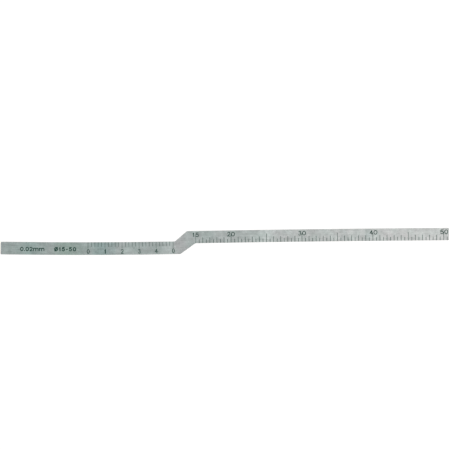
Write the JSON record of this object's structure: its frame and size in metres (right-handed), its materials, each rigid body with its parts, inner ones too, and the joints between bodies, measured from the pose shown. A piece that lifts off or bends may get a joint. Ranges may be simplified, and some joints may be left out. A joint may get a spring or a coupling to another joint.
{
  "type": "diameter tape",
  "caption": "Thin flat steel strip with a crank between a vernier arm and a graduated arm, wrapped round a cylinder to read its diameter.",
  "frame": {"origin": "under the middle of the strip's box, on the plain face that the strip lies on", "axes": "+X along the strip in reading direction, from the vernier arm to the main scale's arm; +Y across the strip, up the numerals; +Z out of the graduated face"},
  "size_m": [0.1988, 0.0118, 0.0002],
  "materials": {
    "steel": "satin",
    "ink": "matte"
  },
  "bodies": {
    "root": {"steel_tape": "steel", "graduation_ink": "ink"}
  },
  "joints": []
}
